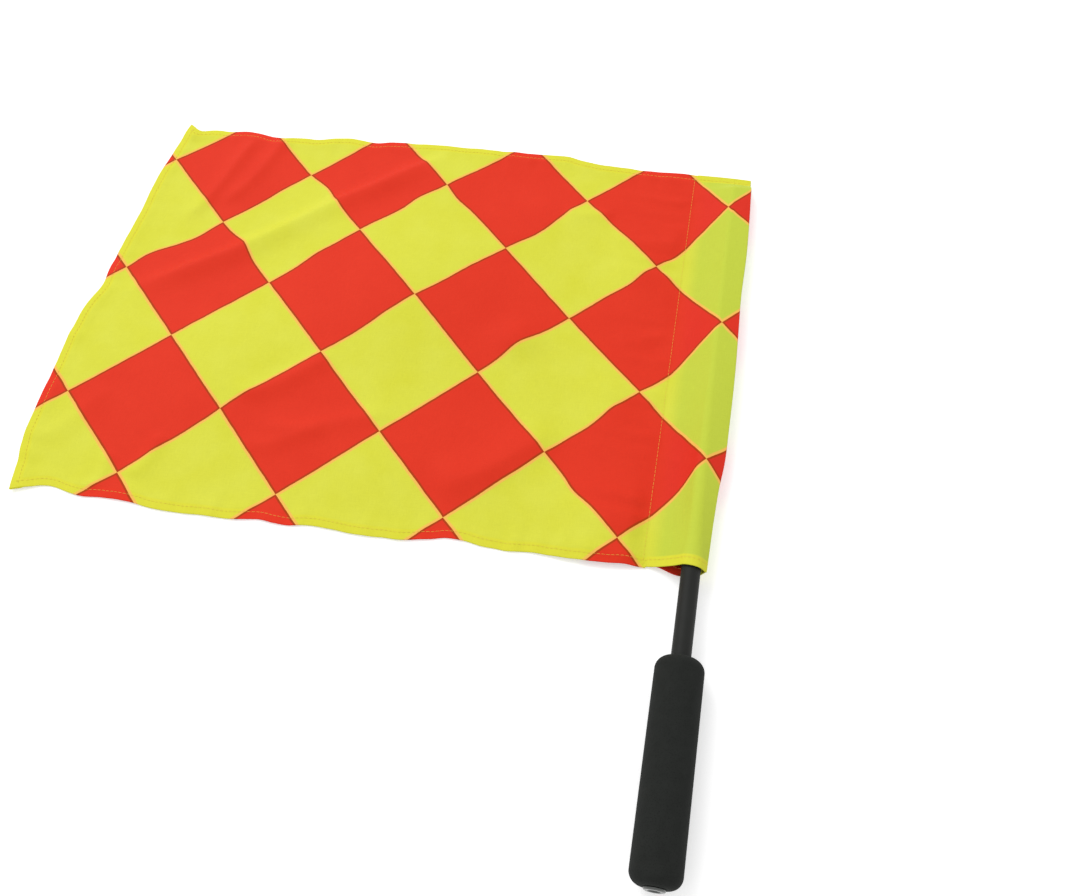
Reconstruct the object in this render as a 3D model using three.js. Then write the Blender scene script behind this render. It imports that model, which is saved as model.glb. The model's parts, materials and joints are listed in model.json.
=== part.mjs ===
import * as THREE from "three";

// A linesman flag lying flat: a plugged tube with a foam grip, and a cloth whose sewn sleeve turns on it.
// Lengths are in millimetres. The pole lies along +Y with its grip at the low end, and the cloth
// reaches to -X. The floor is z = 0.

// Pole: a plastic tube with a plug in each end and a foam grip pushed over the lower end.
const shaftDiameter = 10.4;
const shaftWall = 1.2;
const gripDiameter = 25.4;
const gripLength = 109.4;
const gripFaceDiameter = 12.6; // the flat ring at each end of the foam
const bareLength = 52.6; // tube in sight between the grip and the sleeve's mouth
const plugStem = 16; // how deep a plug reaches into the tube
const plugRim = 0.2; // how far a plug's head stands out past the tube
const plugLead = 1.5; // the taper that lets a stem enter the tube
const plugLeadDrop = 0.75; // how much the taper takes off the stem's radius
const buttHead = 1.3;
const buttCrownDiameter = 8.8; // the flat crown of the butt plug, with a moulded recess in it
const buttRecessDiameter = 6.2;
const buttRecessFloorDiameter = 5.4;
const buttRecessDepth = 2.6;
const buttRimShare = 0.25; // of the head's height, before it rounds over
const tipHead = 3.6;
const tipInset = 18; // from the tip plug's dome to the cloth's top edge

// Cloth: one sheet with turned hems. Its pole side is folded back and sewn down as a sleeve.
const clothLength = 293; // along the pole
const flyReach = 404; // from the pole's axis to the fly edge
const clothThickness = 0.8;
const hemThickness = 1.6;
const hemWidth = 6;
const seamAllowance = 8; // the strip of the folded edge that lies behind the panel
const seamReachAtMouth = 24.6; // from the pole's axis to the seam
const seamReachAtTop = 26.2;
const foldReachAtMouth = 8.7; // from the pole's axis to the fold
const foldReachAtTop = 11.2;
const sleeveFoldHeight = 11.4; // the fold hangs beside the pole, as high as its axis
const mouthSlant = 3; // how far the mouth's edge lies forward over the pole
const underSlant = 2; // and in the layer below the pole
const slantPower = 3; // how fast the slant is lost along the sleeve
const creaseRadius = 0.4; // inside the sleeve's fold and seam
const hemEdgeShare = 0.5; // of a hem's thickness, left at its rounded outer edge

// Clearances
const seatGap = 0.3; // between pieces that touch
const turningGap = 0.5; // between the sleeve and the tube that it turns on

// How the cloth's edges lie. Each is a smooth line through [place, value] points. A place is a share of
// the edge, from the fly edge to the seam or from the mouth to the tip. A value is a share of
// edgeDrift: how far that edge strays from square, towards the tip or towards the pole if above 0.
const edgeDrift = 10;
const bottomEdgeShares = [
  [0, -1.15],
  [0.06, -0.65],
  [0.11, -0.87],
  [0.36, -0.87],
  [0.55, -0.7],
  [0.64, -0.45],
  [0.7, -0.08],
  [0.84, -0.08],
  [1, 0],
];
const topEdgeShares = [
  [0, -0.6],
  [0.05, -1],
  [0.16, -0.65],
  [0.21, -0.85],
  [0.26, -0.5],
  [0.4, -0.3],
  [0.65, -0.3],
  [0.73, -0.15],
  [0.85, -0.25],
  [0.91, -0.45],
  [1, -0.2],
];
const flyEdgeShares = [
  [0, 0.9],
  [0.08, 0.2],
  [0.34, 0],
  [0.45, 0.1],
  [0.52, 0.45],
  [0.85, 0.65],
  [1, 1.25],
];
const foldEase = 24; // the folds flatten out over this width beside the seam
const seamEase = 16; // and the panel rises over this one to the strip behind the seam

// The main folds. Places are shares of the panel, from the fly edge and from its bottom edge.
// Heights are shares of foldHeight, and half-widths are shares of clothLength.
const foldHeight = 7;
const foldShares = [
  { from: [0.0, 0.46], to: [0.5, 0.98], high: 0.72, half: 0.058 }, // the long fold off the fly edge
  { from: [0.48, 0.4], to: [0.62, 0.76], high: 1.0, half: 0.26 }, // the broad swell in the middle
  { from: [0.22, 0.18], to: [0.32, 0.32], high: 0.58, half: 0.24 }, // the low swell near the fly
  { from: [0.28, 0.27], to: [0.42, 0.38], high: 0.3, half: 0.045 },
  { from: [0.6, 0.1], to: [0.82, 0.28], high: 0.4, half: 0.055 },
  { from: [0.1, 0.78], to: [0.15, 1.0], high: 0.42, half: 0.045 },
  { from: [0.21, 0.84], to: [0.25, 1.0], high: 0.36, half: 0.04 },
  { from: [0.7, 0.86], to: [0.74, 1.0], high: 0.52, half: 0.08 },
  { from: [0.66, 0.0], to: [0.76, 0.04], high: 0.34, half: 0.07 },
];

// Facets
const sidesRoundPole = 48;
const stepsOverPole = 12;
const stepsUnderPole = 8;
const stepsRoundCrease = 5;
const stepsAlongFlank = 2;
const stepsRoundShoulder = 6;
const panelColumns = 28;
const panelRows = 20;
const sleeveSteps = 6;
const closingSteps = 6;
const hemColumns = 3;

// Sizes that follow
const shaftRadius = shaftDiameter / 2;
const boreRadius = shaftRadius - shaftWall;
const gripRadius = gripDiameter / 2;
const gripShoulder = gripRadius - gripFaceDiameter / 2;
const headRadius = shaftRadius + plugRim;
const mouthY = gripLength + bareLength;
const topY = mouthY + clothLength;
const sleeveTopY = topY - hemWidth - seatGap; // past it the sleeve is sewn flat in the top hem
const shaftLength = topY - tipInset - tipHead - seatGap;
const domeY = shaftLength + seatGap; // where the tip plug's dome starts
const sleeveBoreRadius = headRadius + turningGap;
const tipAxisHeight = sleeveBoreRadius + clothThickness;
const flyHemShare = hemWidth / (flyReach - seamReachAtMouth); // of the panel's width
const panelStartShare = (hemWidth + seatGap) / (flyReach - seamReachAtMouth);

// The pole rests on the front shoulder of its foam and, through the sleeve, on its tip, so it slopes down.
const contactY = gripLength - gripShoulder;
const pitch = restingPitch();
const contactAxisHeight = gripRadius / Math.cos(pitch);

function restingPitch() {
  const reach = domeY - contactY;
  return Math.asin(gripRadius / Math.hypot(reach, tipAxisHeight)) - Math.atan2(tipAxisHeight, reach);
}

// The height of the pole's axis above the floor at a place along it.
function axisHeight(y) {
  return contactAxisHeight - (y - contactY) * Math.tan(pitch);
}

function smooth(t) {
  const s = THREE.MathUtils.clamp(t, 0, 1);
  return s * s * (3 - 2 * s);
}

// How far up the cloth a place along the pole lies, as a share.
function lengthShare(y) {
  return THREE.MathUtils.clamp((y - mouthY) / clothLength, 0, 1);
}

function seamReach(y) {
  return THREE.MathUtils.lerp(seamReachAtMouth, seamReachAtTop, lengthShare(y));
}

function foldReach(y) {
  return THREE.MathUtils.lerp(foldReachAtMouth, foldReachAtTop, lengthShare(y));
}

// A smooth line through [place, value] points, each with the slope between its two neighbours.
function through(points, place) {
  const last = points.length - 1;
  const i = THREE.MathUtils.clamp(points.filter(([start]) => start < place).length - 1, 0, last - 1);
  const slopeAt = (k) => {
    const [before, after] = [points[Math.max(k - 1, 0)], points[Math.min(k + 1, last)]];
    return (after[1] - before[1]) / (after[0] - before[0]);
  };
  const width = points[i + 1][0] - points[i][0];
  const t = (place - points[i][0]) / width;
  const bend = width * t * (1 - t) * (slopeAt(i) * (1 - t) - slopeAt(i + 1) * t);
  return THREE.MathUtils.lerp(points[i][1], points[i + 1][1], smooth(t)) + bend;
}

// How far the cloth strays from square at a place, between what it does at its two long edges.
function drift(across, y) {
  const [low, high] = [through(bottomEdgeShares, across), through(topEdgeShares, across)];
  return edgeDrift * THREE.MathUtils.lerp(low, high, lengthShare(y));
}

// A place on the cloth: across is 0 at the fly edge and 1 at the seam, and y is where it would lie square.
function clothPlace(across, y) {
  const seam = -seamReach(y) - seatGap;
  const fly = edgeDrift * through(flyEdgeShares, lengthShare(y)) - flyReach;
  const x = THREE.MathUtils.lerp(fly, seam, across);
  return new THREE.Vector3(x, y + drift(across, y), clothHeight(across, y));
}

// One fold is a ridge along a line, whose height falls off to nothing at its half-width and past its ends.
function ridgeHeight(fold, across, along) {
  const from = new THREE.Vector2(fold.from[0] * flyReach, fold.from[1] * clothLength);
  const line = new THREE.Vector2(fold.to[0] * flyReach, fold.to[1] * clothLength).sub(from);
  const place = new THREE.Vector2(across * flyReach, along * clothLength).sub(from);
  const share = THREE.MathUtils.clamp(place.dot(line) / line.lengthSq(), 0, 1);
  const away = place.sub(line.multiplyScalar(share)).length();
  return fold.high * foldHeight * smooth(1 - away / (fold.half * clothLength));
}

// The height of the middle of the cloth above the floor. It rises over the strip behind the seam.
function clothHeight(across, y) {
  const fromSeam = (1 - across) * (flyReach - seamReach(y));
  const folds = foldShares.reduce((sum, fold) => sum + ridgeHeight(fold, across, lengthShare(y)), 0);
  const seamRise = clothThickness + seatGap + clothThickness / 2 - hemThickness / 2;
  return hemThickness / 2 + folds * smooth(fromSeam / foldEase)
    + seamRise * smooth(1 - (fromSeam - seamAllowance) / seamEase);
}

function geometryOf(points, triangles) {
  const geometry = new THREE.BufferGeometry().setFromPoints(points);
  geometry.setIndex(triangles);
  geometry.computeVertexNormals();
  return geometry;
}

// A closed slab of cloth: two facing grids joined round their rim, on both sides of its middle surface.
function sheetGeometry(columns, rows, middleOf, thicknessOf) {
  const points = [];
  for (const side of [1, -1]) {
    for (let row = 0; row <= rows; row += 1) {
      for (let column = 0; column <= columns; column += 1) {
        const place = middleOf(column / columns, row / rows);
        const half = thicknessOf(column / columns, row / rows) / 2;
        points.push(place.setZ(place.z + side * half));
      }
    }
  }
  const layer = (columns + 1) * (rows + 1);
  const at = (column, row) => row * (columns + 1) + column;
  const triangles = [];
  for (let row = 0; row < rows; row += 1) {
    for (let column = 0; column < columns; column += 1) {
      const [a, b] = [at(column, row), at(column + 1, row)];
      const [d, c] = [at(column, row + 1), at(column + 1, row + 1)];
      triangles.push(a, b, c, a, c, d);
      triangles.push(layer + a, layer + c, layer + b, layer + a, layer + d, layer + c);
    }
  }
  const rim = [];
  for (let column = 0; column < columns; column += 1) rim.push(at(column, 0));
  for (let row = 0; row < rows; row += 1) rim.push(at(columns, row));
  for (let column = columns; column > 0; column -= 1) rim.push(at(column, rows));
  for (let row = rows; row > 0; row -= 1) rim.push(at(0, row));
  rim.forEach((a, i) => {
    const b = rim[(i + 1) % rim.length];
    triangles.push(a, layer + a, layer + b, a, layer + b, b);
  });
  return geometryOf(points, triangles);
}

// The direction that faces out from the straight line touching two circles, going from one to the next.
function touchingAngle(circle, next) {
  const [dx, dz] = [next.x - circle.x, next.z - circle.z];
  return Math.atan2(dz, dx) - Math.acos((circle.radius - next.radius) / Math.hypot(dx, dz));
}

// The outline of a band drawn tight round circles: an arc on each, and a straight flank to the next.
function bandRound(circles, y) {
  const onCircle = ({ x, z, radius }, angle) =>
    new THREE.Vector3(x + radius * Math.cos(angle), y, z + radius * Math.sin(angle));
  return circles.flatMap((circle, i) => {
    const next = circles[(i + 1) % circles.length];
    const arrive = touchingAngle(circles[(i + circles.length - 1) % circles.length], circle);
    const leave = touchingAngle(circle, next);
    const sweep = THREE.MathUtils.euclideanModulo(leave - arrive, 2 * Math.PI);
    const ring = [];
    for (let step = 0; step <= circle.steps; step += 1) {
      ring.push(onCircle(circle, arrive + (sweep * step) / circle.steps));
    }
    const flankEnd = onCircle(next, leave);
    for (let step = 1; step <= stepsAlongFlank; step += 1) {
      ring.push(ring[circle.steps].clone().lerp(flankEnd, step / (stepsAlongFlank + 1)));
    }
    return ring;
  });
}

// How far a point of the sleeve strays along the pole. Its mouth slants forward over the pole and, less,
// in the layer below, and its closed end slopes from the fold down to the seam.
function sleeveDrift({ x, y, z }) {
  const across = THREE.MathUtils.clamp((x + seamReach(y)) / (seamReach(y) + foldReach(y)), 0, 1);
  const raised = Math.min(z / (axisHeight(mouthY) + sleeveBoreRadius), 1);
  const slant = mouthSlant * raised + underSlant * (1 - raised) * Math.sin(Math.PI * across);
  return drift(1, y) * (1 - across) - slant * Math.pow(1 - lengthShare(y), slantPower);
}

// The sleeve's section: a band round the pole, the seam and the fold, with the same wall all round.
// Where it closes, the circle of the pole shrinks to the size of a crease, and it and the fold sink.
function sleeveRing(y, wall, side, closing = 0) {
  const extra = side === "outside" ? wall : 0;
  const creaseHeight = creaseRadius + wall;
  const poleRadius = THREE.MathUtils.lerp(sleeveBoreRadius, creaseRadius, closing);
  const poleHeight = THREE.MathUtils.lerp(axisHeight(Math.min(y, domeY)), creaseHeight, closing);
  const hangHeight = THREE.MathUtils.lerp(sleeveFoldHeight, creaseHeight, closing);
  const crease = { z: creaseHeight, radius: creaseRadius + extra, steps: stepsRoundCrease };
  const overPole = { x: 0, z: poleHeight, radius: poleRadius + extra, steps: stepsOverPole };
  const underPole = { ...overPole, steps: stepsUnderPole };
  const seam = { ...crease, x: creaseHeight - seamReach(y) };
  const fold = { ...crease, x: foldReach(y) - creaseHeight, z: hangHeight };
  const ring = bandRound([overPole, seam, underPole, fold], y);
  return ring.map((point) => point.setY(y + sleeveDrift(point)));
}

// A closed wall between outer and inner rings. Without an open far end, both skins are capped there by
// a fan round the ring's centre.
function tubeGeometry(outer, inner, farEndOpen) {
  const sides = outer[0].length;
  const centreOf = (ring) =>
    ring.reduce((sum, point) => sum.add(point), new THREE.Vector3()).divideScalar(ring.length);
  const centres = farEndOpen ? [] : [centreOf(outer.at(-1)), centreOf(inner.at(-1))];
  const points = [...outer.flat(), ...inner.flat(), ...centres];
  const outerAt = (ring, side) => ring * sides + (side % sides);
  const innerAt = (ring, side) => outer.length * sides + ring * sides + (side % sides);
  const triangles = [];
  for (let side = 0; side < sides; side += 1) {
    for (let ring = 0; ring < outer.length - 1; ring += 1) {
      const [a, b] = [outerAt(ring, side), outerAt(ring, side + 1)];
      const [d, c] = [outerAt(ring + 1, side), outerAt(ring + 1, side + 1)];
      triangles.push(a, d, c, a, c, b);
    }
    for (let ring = 0; ring < inner.length - 1; ring += 1) {
      const [a, b] = [innerAt(ring, side), innerAt(ring, side + 1)];
      const [d, c] = [innerAt(ring + 1, side), innerAt(ring + 1, side + 1)];
      triangles.push(a, c, d, a, b, c);
    }
    triangles.push(outerAt(0, side), outerAt(0, side + 1), innerAt(0, side + 1));
    triangles.push(outerAt(0, side), innerAt(0, side + 1), innerAt(0, side));
    const [lastOuter, lastInner] = [outer.length - 1, inner.length - 1];
    if (farEndOpen) {
      triangles.push(outerAt(lastOuter, side + 1), outerAt(lastOuter, side), innerAt(lastInner, side));
      triangles.push(outerAt(lastOuter, side + 1), innerAt(lastInner, side), innerAt(lastInner, side + 1));
    } else {
      const [outerCentre, innerCentre] = [points.length - 2, points.length - 1];
      triangles.push(outerCentre, outerAt(lastOuter, side + 1), outerAt(lastOuter, side));
      triangles.push(innerCentre, innerAt(lastInner, side), innerAt(lastInner, side + 1));
    }
  }
  return geometryOf(points, triangles);
}

// The sleeve runs from its mouth band over the pole's domed tip and slopes down flat past it.
function sleeveGeometry() {
  const startY = mouthY + hemWidth + seatGap;
  const innerEndY = sleeveTopY - clothThickness;
  const outer = [];
  const inner = [];
  for (let step = 0; step < sleeveSteps; step += 1) {
    const y = THREE.MathUtils.lerp(startY, domeY, step / sleeveSteps);
    outer.push(sleeveRing(y, clothThickness, "outside"));
    inner.push(sleeveRing(y, clothThickness, "inside"));
  }
  for (let step = 0; step <= closingSteps; step += 1) {
    const share = step / closingSteps;
    const outerY = THREE.MathUtils.lerp(domeY, sleeveTopY, share);
    const innerY = THREE.MathUtils.lerp(domeY, innerEndY, share);
    outer.push(sleeveRing(outerY, clothThickness, "outside", smooth(share)));
    inner.push(sleeveRing(innerY, clothThickness, "inside", smooth(share)));
  }
  return tubeGeometry(outer, inner, false);
}

// The turned band round the sleeve's mouth has two thicknesses of cloth.
function mouthHemGeometry() {
  const ends = [mouthY, mouthY + hemWidth];
  const outer = ends.map((y) => sleeveRing(y, hemThickness, "outside"));
  const inner = ends.map((y) => sleeveRing(y, hemThickness, "inside"));
  return tubeGeometry(outer, inner, true);
}

// A hem is full at its inner side and rounds off to its turned outer edge.
function hemThicknessAt(fromEdgeShare) {
  return hemThickness * THREE.MathUtils.lerp(hemEdgeShare, 1, smooth(hemColumns * fromEdgeShare));
}

function panelGeometry() {
  const low = mouthY + hemWidth + seatGap;
  const high = topY - hemWidth - seatGap;
  return sheetGeometry(
    panelColumns,
    panelRows,
    (u, v) => clothPlace(THREE.MathUtils.lerp(panelStartShare, 1, u), THREE.MathUtils.lerp(low, high, v)),
    () => clothThickness,
  );
}

// The top and bottom hems run from the fly hem to the seam.
function edgeHemGeometry(edgeY, inward) {
  return sheetGeometry(
    panelColumns,
    hemColumns,
    (u, v) => {
      const fromEdge = (inward > 0 ? v : 1 - v) * hemWidth;
      return clothPlace(THREE.MathUtils.lerp(panelStartShare, 1, u), edgeY + inward * fromEdge);
    },
    (u, v) => hemThicknessAt(inward > 0 ? v : 1 - v),
  );
}

// The fly hem runs the whole length of the free edge, with both corners.
function flyHemGeometry() {
  return sheetGeometry(
    hemColumns,
    panelRows + 2,
    (u, v) => clothPlace(u * flyHemShare, flyHemY(v)),
    (u) => hemThicknessAt(u),
  );
}

// The fly hem's steps match the panel's rows, with one more step along each corner.
function flyHemY(v) {
  const rows = panelRows + 2;
  const row = Math.round(v * rows);
  if (row === 0) return mouthY;
  if (row === rows) return topY;
  return THREE.MathUtils.lerp(mouthY + hemWidth, topY - hemWidth, (row - 1) / panelRows);
}

// The folded edge of the sheet lies flat on the floor behind the panel and is sewn to it along the seam.
function seamAllowanceGeometry() {
  const low = mouthY + hemWidth + seatGap;
  const high = topY - hemWidth - seatGap;
  return sheetGeometry(
    1,
    panelRows,
    (u, v) => {
      const across = 1 - ((1 - u) * seamAllowance) / (flyReach - seamReachAtTop);
      return clothPlace(across, THREE.MathUtils.lerp(low, high, v)).setZ(clothThickness / 2);
    },
    () => clothThickness,
  );
}

// Past the pole's tip the top hem runs on over both layers of the sleeve and closes it.
function closureGeometry() {
  const doubled = 2 * (clothThickness + creaseRadius);
  return sheetGeometry(
    hemColumns,
    hemColumns,
    (u, v) => {
      const y = THREE.MathUtils.lerp(topY - hemWidth, topY, v);
      const x = THREE.MathUtils.lerp(-seamReach(y), foldReach(y), u);
      return new THREE.Vector3(x, y + drift(1, y) * (1 - u), doubled / 2);
    },
    (u, v) => (hemThicknessAt(1 - v) * doubled) / hemThickness,
  );
}

// A tube open at both ends, turned as one ring-shaped section.
function shaftGeometry() {
  const section = [
    new THREE.Vector2(boreRadius, 0),
    new THREE.Vector2(shaftRadius, 0),
    new THREE.Vector2(shaftRadius, shaftLength),
    new THREE.Vector2(boreRadius, shaftLength),
    new THREE.Vector2(boreRadius, 0),
  ];
  return new THREE.LatheGeometry(section, sidesRoundPole);
}

// A quarter round in a turned section, from one angle to the next.
function roundCorner(section, centre, radius, startAngle) {
  for (let step = 0; step <= stepsRoundShoulder; step += 1) {
    const angle = startAngle + (step / stepsRoundShoulder) * (Math.PI / 2);
    section.push(new THREE.Vector2(radius, 0).rotateAround(new THREE.Vector2(), angle).add(centre));
  }
}

function gripGeometry() {
  const bore = shaftRadius + seatGap;
  const faceRadius = gripFaceDiameter / 2;
  const section = [new THREE.Vector2(bore, 0)];
  roundCorner(section, new THREE.Vector2(faceRadius, gripShoulder), gripShoulder, -Math.PI / 2);
  roundCorner(section, new THREE.Vector2(faceRadius, gripLength - gripShoulder), gripShoulder, 0);
  section.push(new THREE.Vector2(bore, gripLength));
  section.push(new THREE.Vector2(bore, 0));
  return new THREE.LatheGeometry(section, sidesRoundPole);
}

// Both plugs have the same stem. y = 0 is the end of the tube, and the head lies past it, at negative y.
function plugSection() {
  const stemRadius = boreRadius - seatGap;
  return [
    new THREE.Vector2(stemRadius, -seatGap),
    new THREE.Vector2(stemRadius, plugStem - plugLead),
    new THREE.Vector2(stemRadius - plugLeadDrop, plugStem),
    new THREE.Vector2(0, plugStem),
  ];
}

// The butt plug's head rises from a rim to a flat crown. Its recess reaches down into the stem, and
// narrows a little towards its floor.
function buttPlugGeometry() {
  const crown = buttCrownDiameter / 2;
  const section = [new THREE.Vector2(0, buttRecessDepth - buttHead)];
  section.push(new THREE.Vector2(buttRecessFloorDiameter / 2, buttRecessDepth - buttHead));
  section.push(new THREE.Vector2(buttRecessDiameter / 2, -buttHead));
  for (let step = 0; step <= stepsRoundShoulder; step += 1) {
    const turn = (step / stepsRoundShoulder) * (Math.PI / 2);
    const radius = crown + (headRadius - crown) * Math.sin(turn);
    const rise = THREE.MathUtils.lerp(buttRimShare, 1, Math.cos(turn));
    section.push(new THREE.Vector2(radius, -seatGap - (buttHead - seatGap) * rise));
  }
  section.push(new THREE.Vector2(headRadius, -seatGap));
  section.push(...plugSection());
  return new THREE.LatheGeometry(section, sidesRoundPole);
}

// The tip plug has a full dome, so that the sleeve's closed end slides over it.
function tipPlugGeometry() {
  const section = [];
  for (let step = 0; step <= stepsRoundShoulder; step += 1) {
    const turn = (step / stepsRoundShoulder) * (Math.PI / 2);
    section.push(new THREE.Vector2(headRadius * Math.sin(turn), -seatGap - tipHead * Math.cos(turn)));
  }
  section[0].x = 0;
  section.push(...plugSection());
  return new THREE.LatheGeometry(section, sidesRoundPole);
}

const tubePlastic = new THREE.MeshStandardMaterial({ color: 0x1b1c1a, roughness: 0.38, metalness: 0 });
const plugPlastic = new THREE.MeshStandardMaterial({ color: 0x3a3d3b, roughness: 0.25, metalness: 0 });
const gripFoam = new THREE.MeshStandardMaterial({ color: 0x131412, roughness: 0.95, metalness: 0 });
const flagCloth = new THREE.MeshStandardMaterial({ color: 0xdfe034, roughness: 0.7, metalness: 0 });
const sewnCloth = new THREE.MeshStandardMaterial({ color: 0xe9d735, roughness: 0.65, metalness: 0 });

function meshOf(name, geometry, material) {
  const mesh = new THREE.Mesh(geometry, material);
  mesh.name = name;
  return mesh;
}

const pole = new THREE.Group();
pole.add(meshOf("shaft_tube", shaftGeometry(), tubePlastic));
pole.add(meshOf("foam_grip", gripGeometry(), gripFoam));
pole.add(meshOf("butt_plug", buttPlugGeometry(), plugPlastic));
const tipPlug = meshOf("tip_plug", tipPlugGeometry(), plugPlastic);
tipPlug.position.y = shaftLength;
tipPlug.rotation.x = Math.PI;
pole.add(tipPlug);
// The pole is turned about the point of its axis above the foam's contact with the floor.
pole.rotation.x = -pitch;
pole.position.y = contactY - contactY * Math.cos(pitch);
pole.position.z = contactAxisHeight + contactY * Math.sin(pitch);

const flag = new THREE.Group();
flag.add(meshOf("flag_panel", panelGeometry(), flagCloth));
flag.add(meshOf("pole_sleeve", sleeveGeometry(), flagCloth));
flag.add(meshOf("fly_hem", flyHemGeometry(), sewnCloth));
flag.add(meshOf("top_hem", edgeHemGeometry(topY, -1), sewnCloth));
flag.add(meshOf("bottom_hem", edgeHemGeometry(mouthY, 1), sewnCloth));
flag.add(meshOf("mouth_hem", mouthHemGeometry(), sewnCloth));
flag.add(meshOf("seam_allowance", seamAllowanceGeometry(), sewnCloth));
flag.add(meshOf("sleeve_closure", closureGeometry(), sewnCloth));

// The origin is the middle of the whole flag's outline, on the floor.
const linesmanFlag = new THREE.Group();
linesmanFlag.add(pole, flag);
const outline = new THREE.Box3().setFromObject(linesmanFlag, true);
const middle = outline.getCenter(new THREE.Vector3());
linesmanFlag.position.set(-middle.x, -middle.y, -outline.min.z);

export default linesmanFlag;
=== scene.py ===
import json
import math

import bpy
import numpy as np
from mathutils import Euler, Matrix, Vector


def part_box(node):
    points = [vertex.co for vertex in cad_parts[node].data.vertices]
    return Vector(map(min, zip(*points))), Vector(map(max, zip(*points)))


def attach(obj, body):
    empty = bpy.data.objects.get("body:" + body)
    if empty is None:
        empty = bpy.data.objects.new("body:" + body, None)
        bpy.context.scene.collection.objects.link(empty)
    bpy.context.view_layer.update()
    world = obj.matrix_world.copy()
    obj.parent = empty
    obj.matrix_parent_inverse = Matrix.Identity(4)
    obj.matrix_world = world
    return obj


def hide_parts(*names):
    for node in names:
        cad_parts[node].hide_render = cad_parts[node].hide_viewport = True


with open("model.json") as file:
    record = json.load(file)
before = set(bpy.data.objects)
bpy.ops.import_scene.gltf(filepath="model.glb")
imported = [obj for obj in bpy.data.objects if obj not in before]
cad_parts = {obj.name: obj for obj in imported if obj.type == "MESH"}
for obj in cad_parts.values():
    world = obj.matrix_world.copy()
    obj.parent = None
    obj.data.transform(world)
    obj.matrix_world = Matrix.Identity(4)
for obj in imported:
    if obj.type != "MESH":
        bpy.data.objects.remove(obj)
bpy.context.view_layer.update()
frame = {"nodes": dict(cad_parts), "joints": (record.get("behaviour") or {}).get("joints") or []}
print("frame loaded with", len(frame["nodes"]), "nodes")

# Lengths are in millimetres, from the pole's axis (x), the sleeve's mouth (y) and the floor (z).
mm = 0.001
clothLength = 293  # from the mouth to the closed end, in the frame
turnAxis = frame["joints"][0]
poleX = turnAxis["pos_m"][0] / mm
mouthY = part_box("sleeve_closure")[1].y / mm - clothLength
axisSlope = turnAxis["axis"][2] / turnAxis["axis"][1]
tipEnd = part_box("tip_plug")[1].y / mm - mouthY


# how far a round piece of the frame reaches from the axis
def radiusOf(node):
    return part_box(node)[1].x / mm - poleX


def toRow(x, y, z):
    return np.stack([poleX + x, mouthY + y, z], axis=-1) * mm


def axisHeight(y):
    return turnAxis["pos_m"][2] / mm + (y - (turnAxis["pos_m"][1] / mm - mouthY)) * axisSlope


def mix(a, b, t):
    return a + (b - a) * t


# from 0 to 1, level at both ends
def smooth(t):
    s = np.clip(t, 0, 1)
    return s * s * (3 - 2 * s)


# 1 in the middle and almost nothing past twice its reach
def bump(distance, reach):
    return np.exp(-((distance / reach) ** 2))


# a smooth line through (place, value) pairs
def through(points, t):
    places, values = np.array(points, float).T
    slopes = np.gradient(values, places)
    i = np.clip(np.searchsorted(places, t) - 1, 0, len(places) - 2)
    width = places[i + 1] - places[i]
    k = np.clip((t - places[i]) / width, 0, 1)
    bend = width * (slopes[i] * k * (1 - k) ** 2 - slopes[i + 1] * k * k * (1 - k))
    return mix(values[i], values[i + 1], smooth(k)) + bend


# a number between -1 and 1 that wanders along t, turning about once a step
def wander(t, step, seed):
    knotCount, knotAtZero = 512, 64
    knots = np.random.default_rng(seed).uniform(-1, 1, knotCount)
    place = np.asarray(t, float) / step + knotAtZero
    i = np.floor(place).astype(int) % (knotCount - 1)
    return mix(knots[i], knots[i + 1], smooth(place - np.floor(place)))


# count even steps from just after 0 up to 1, as a column
def stepsTo(count):
    return np.linspace(0, 1, count + 1)[1:, None]


def unit(ways):
    return ways / (np.linalg.norm(ways, axis=-1, keepdims=True) + 1e-9)


def meshPiece(name, points, faces, material, body, uvs=None):
    data = bpy.data.meshes.new(name)
    data.from_pydata(points.tolist(), [], faces.tolist() if hasattr(faces, "tolist") else faces)
    corners = np.zeros(len(data.loops), np.int32)
    data.loops.foreach_get("vertex_index", corners)
    for label, values in (uvs or {}).items():
        layer = data.uv_layers.new(name=label)
        layer.data.foreach_set("uv", values[corners].astype(np.float32).ravel())
    data.polygons.foreach_set("use_smooth", [True] * len(data.polygons))
    data.materials.append(material)
    data.update()
    piece = bpy.data.objects.new(name, data)
    bpy.context.scene.collection.objects.link(piece)
    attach(piece, body)
    return piece


# a number that varies over a surface, which Python's own signs add, take away and multiply
class Varying:
    def __init__(self, nodes, socket):
        self.nodes = nodes
        self.socket = socket

    def maths(self, operation, *values):
        sockets = dict(enumerate(values))
        return self.nodes.node("ShaderNodeMath", {"operation": operation}, sockets)

    def __add__(self, other):
        return self.maths("ADD", self, other)

    def __sub__(self, other):
        return self.maths("SUBTRACT", self, other)

    def __rsub__(self, other):
        return self.maths("SUBTRACT", other, self)

    def __mul__(self, other):
        return self.maths("MULTIPLY", self, other)

    __radd__ = __add__
    __rmul__ = __mul__

    def least(self, other):
        return self.maths("MINIMUM", self, other)

    def most(self, other):
        return self.maths("MAXIMUM", self, other)

    # 0 below the edge and 1 above it, blurred over a width
    def above(self, edge, width):
        sockets = {"Value": self, "From Min": edge - width / 2, "From Max": edge + width / 2}
        return self.nodes.node("ShaderNodeMapRange", {"interpolation_type": "SMOOTHSTEP"}, sockets)


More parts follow.
